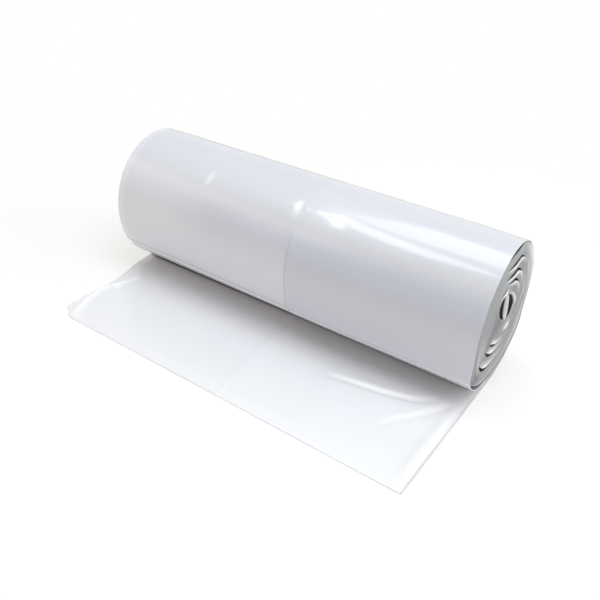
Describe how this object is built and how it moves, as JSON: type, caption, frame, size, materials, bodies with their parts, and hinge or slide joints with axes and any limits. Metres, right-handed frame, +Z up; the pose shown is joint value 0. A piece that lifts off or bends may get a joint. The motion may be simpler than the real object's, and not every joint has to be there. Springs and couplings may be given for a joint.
{
  "type": "roll of plastic bags",
  "caption": "Coreless roll of folded translucent film bags lying on its side, with its loose end drawn out flat in front of it.",
  "frame": {"origin": "on the surface that the roll rests on, under the middle of the roll", "axes": "+X runs along the roll, -Y is the side that the loose end lies on, +Z is up"},
  "size_m": [0.305, 0.1797, 0.1081],
  "materials": {
    "film": "glossy translucent white film"
  },
  "bodies": {
    "root": {"bag_roll": "film"}
  },
  "joints": []
}
